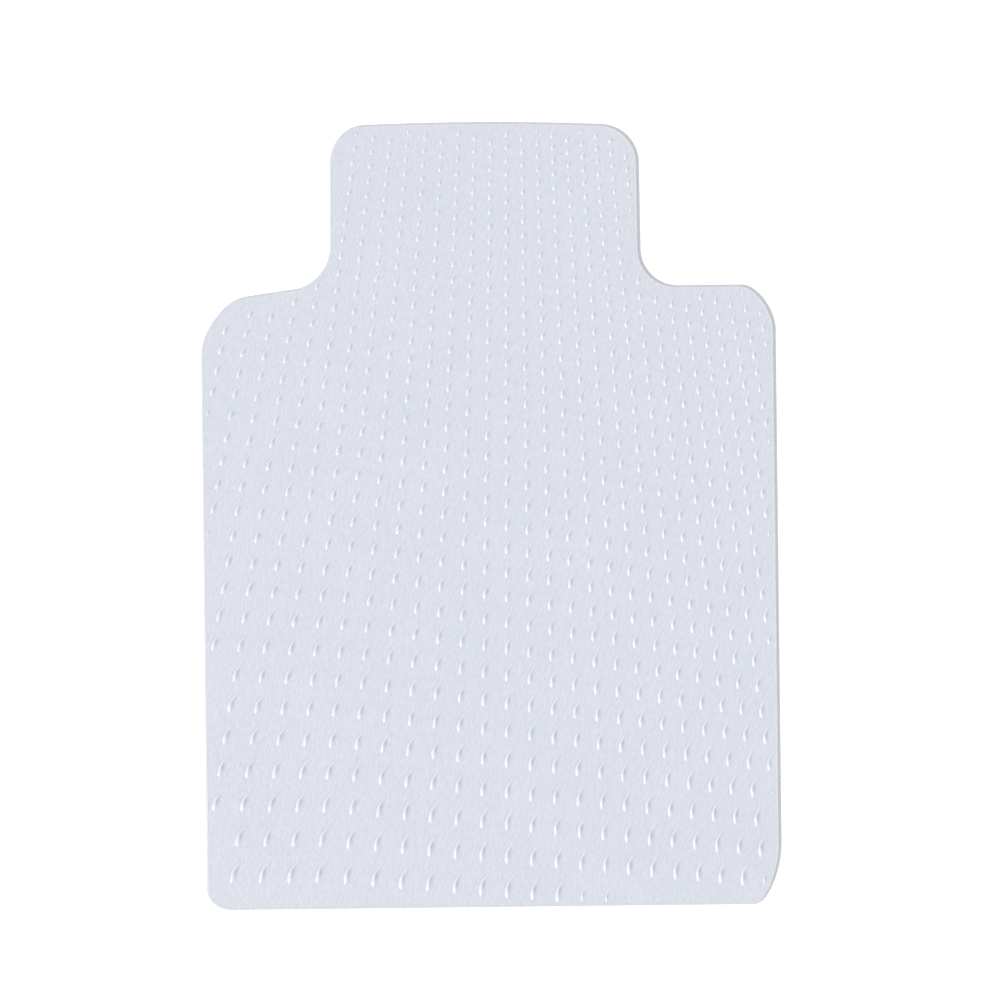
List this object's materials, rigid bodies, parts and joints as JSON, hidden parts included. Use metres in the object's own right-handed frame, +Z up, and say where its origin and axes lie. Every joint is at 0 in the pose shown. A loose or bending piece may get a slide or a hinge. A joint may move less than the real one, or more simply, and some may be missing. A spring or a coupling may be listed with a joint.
{
  "type": "chair mat",
  "caption": "Lipped T-shaped chair mat for carpet: a thin frosted PVC sheet with rows of moulded gripper studs on its underside.",
  "frame": {"origin": "centre of the mat's length and width, on the plane of the stud tips, which is the floor", "axes": "+Z up, +Y along the length towards the lip that slides under the desk, +X to the right of a sitter who faces the desk"},
  "size_m": [0.9, 1.2319, 0.0075],
  "materials": {
    "pvc_sheet": "satin",
    "pvc_studs": "satin"
  },
  "bodies": {
    "root": {"mat_sheet": "pvc_sheet", "stud_row_01": "pvc_studs", "stud_row_02": "pvc_studs", "stud_row_03": "pvc_studs", "stud_row_04": "pvc_studs", "stud_row_05": "pvc_studs", "stud_row_06": "pvc_studs", "stud_row_07": "pvc_studs", "stud_row_08": "pvc_studs", "stud_row_09": "pvc_studs", "stud_row_10": "pvc_studs", "stud_row_11": "pvc_studs", "stud_row_12": "pvc_studs", "stud_row_13": "pvc_studs", "stud_row_14": "pvc_studs", "stud_row_15": "pvc_studs", "stud_row_16": "pvc_studs", "stud_row_17": "pvc_studs", "stud_row_18": "pvc_studs", "stud_row_19": "pvc_studs", "stud_row_20": "pvc_studs", "stud_row_21": "pvc_studs", "stud_row_22": "pvc_studs", "stud_row_23": "pvc_studs", "stud_row_24": "pvc_studs", "stud_row_25": "pvc_studs", "stud_row_26": "pvc_studs", "stud_row_27": "pvc_studs", "stud_row_28": "pvc_studs", "stud_row_29": "pvc_studs", "stud_row_30": "pvc_studs", "stud_row_31": "pvc_studs", "stud_row_32": "pvc_studs", "stud_row_33": "pvc_studs", "stud_row_34": "pvc_studs", "stud_row_35": "pvc_studs", "stud_row_36": "pvc_studs", "stud_row_37": "pvc_studs", "stud_row_38": "pvc_studs", "stud_row_39": "pvc_studs", "stud_row_40": "pvc_studs", "stud_row_41": "pvc_studs"}
  },
  "joints": []
}
